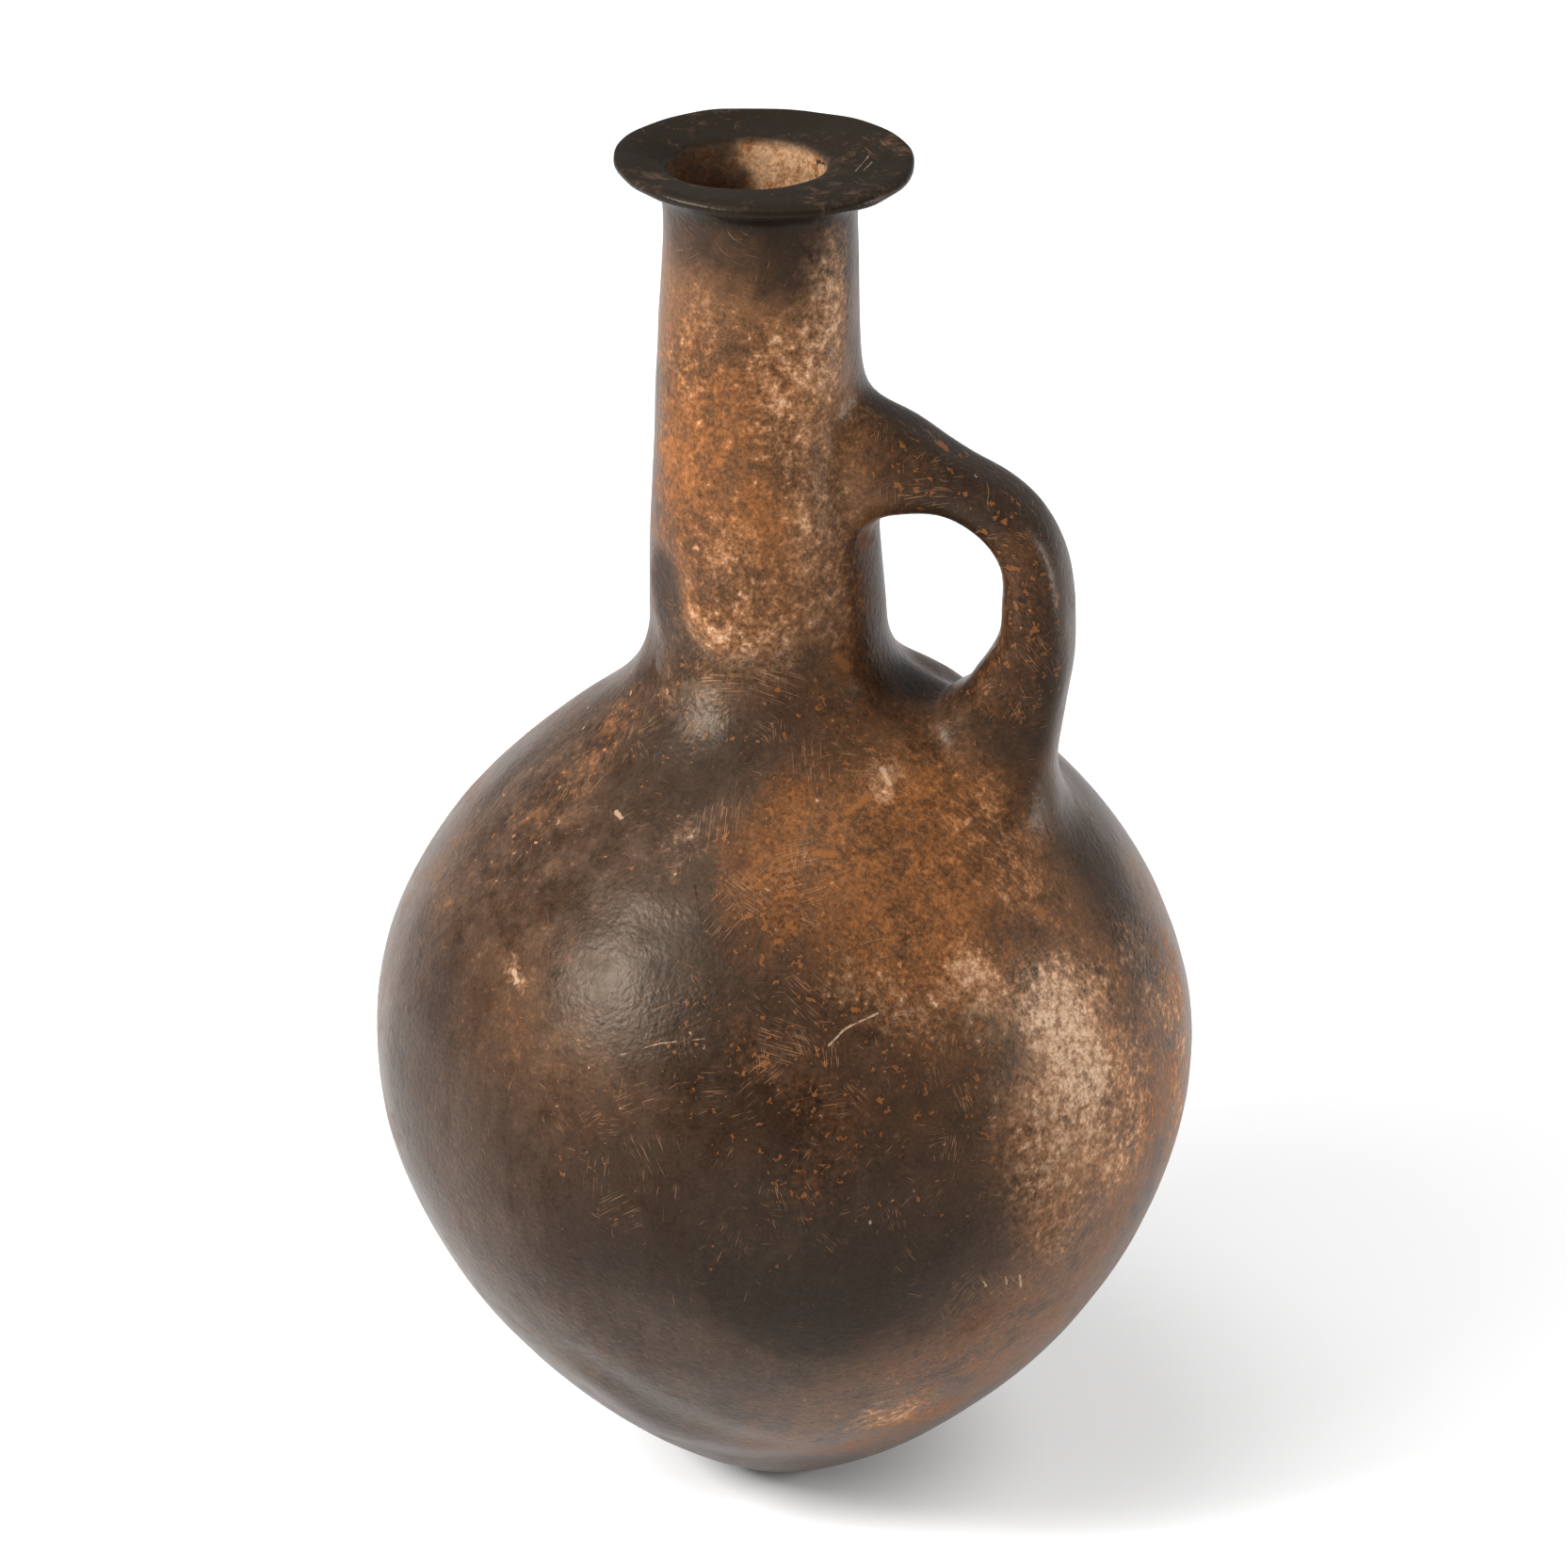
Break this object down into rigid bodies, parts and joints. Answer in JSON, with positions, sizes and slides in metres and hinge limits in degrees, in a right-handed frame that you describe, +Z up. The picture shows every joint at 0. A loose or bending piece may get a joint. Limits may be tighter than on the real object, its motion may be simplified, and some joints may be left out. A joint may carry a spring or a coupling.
{
  "type": "pottery jug",
  "caption": "Hand-built burnished clay jug with a round hollow body, small flat foot, long neck, turned-out rim and one strap handle.",
  "frame": {"origin": "centre of the flat foot, on the surface that the jug stands on", "axes": "+Z up along the jug, +X towards the handle, +Y completes the right-handed set"},
  "size_m": [0.2292, 0.2292, 0.3909],
  "materials": {
    "fired_clay": "burnished hand-built earthenware, smoked dark brown and black with worn orange and tan patches"
  },
  "bodies": {
    "root": {"jug": "fired_clay"}
  },
  "joints": []
}
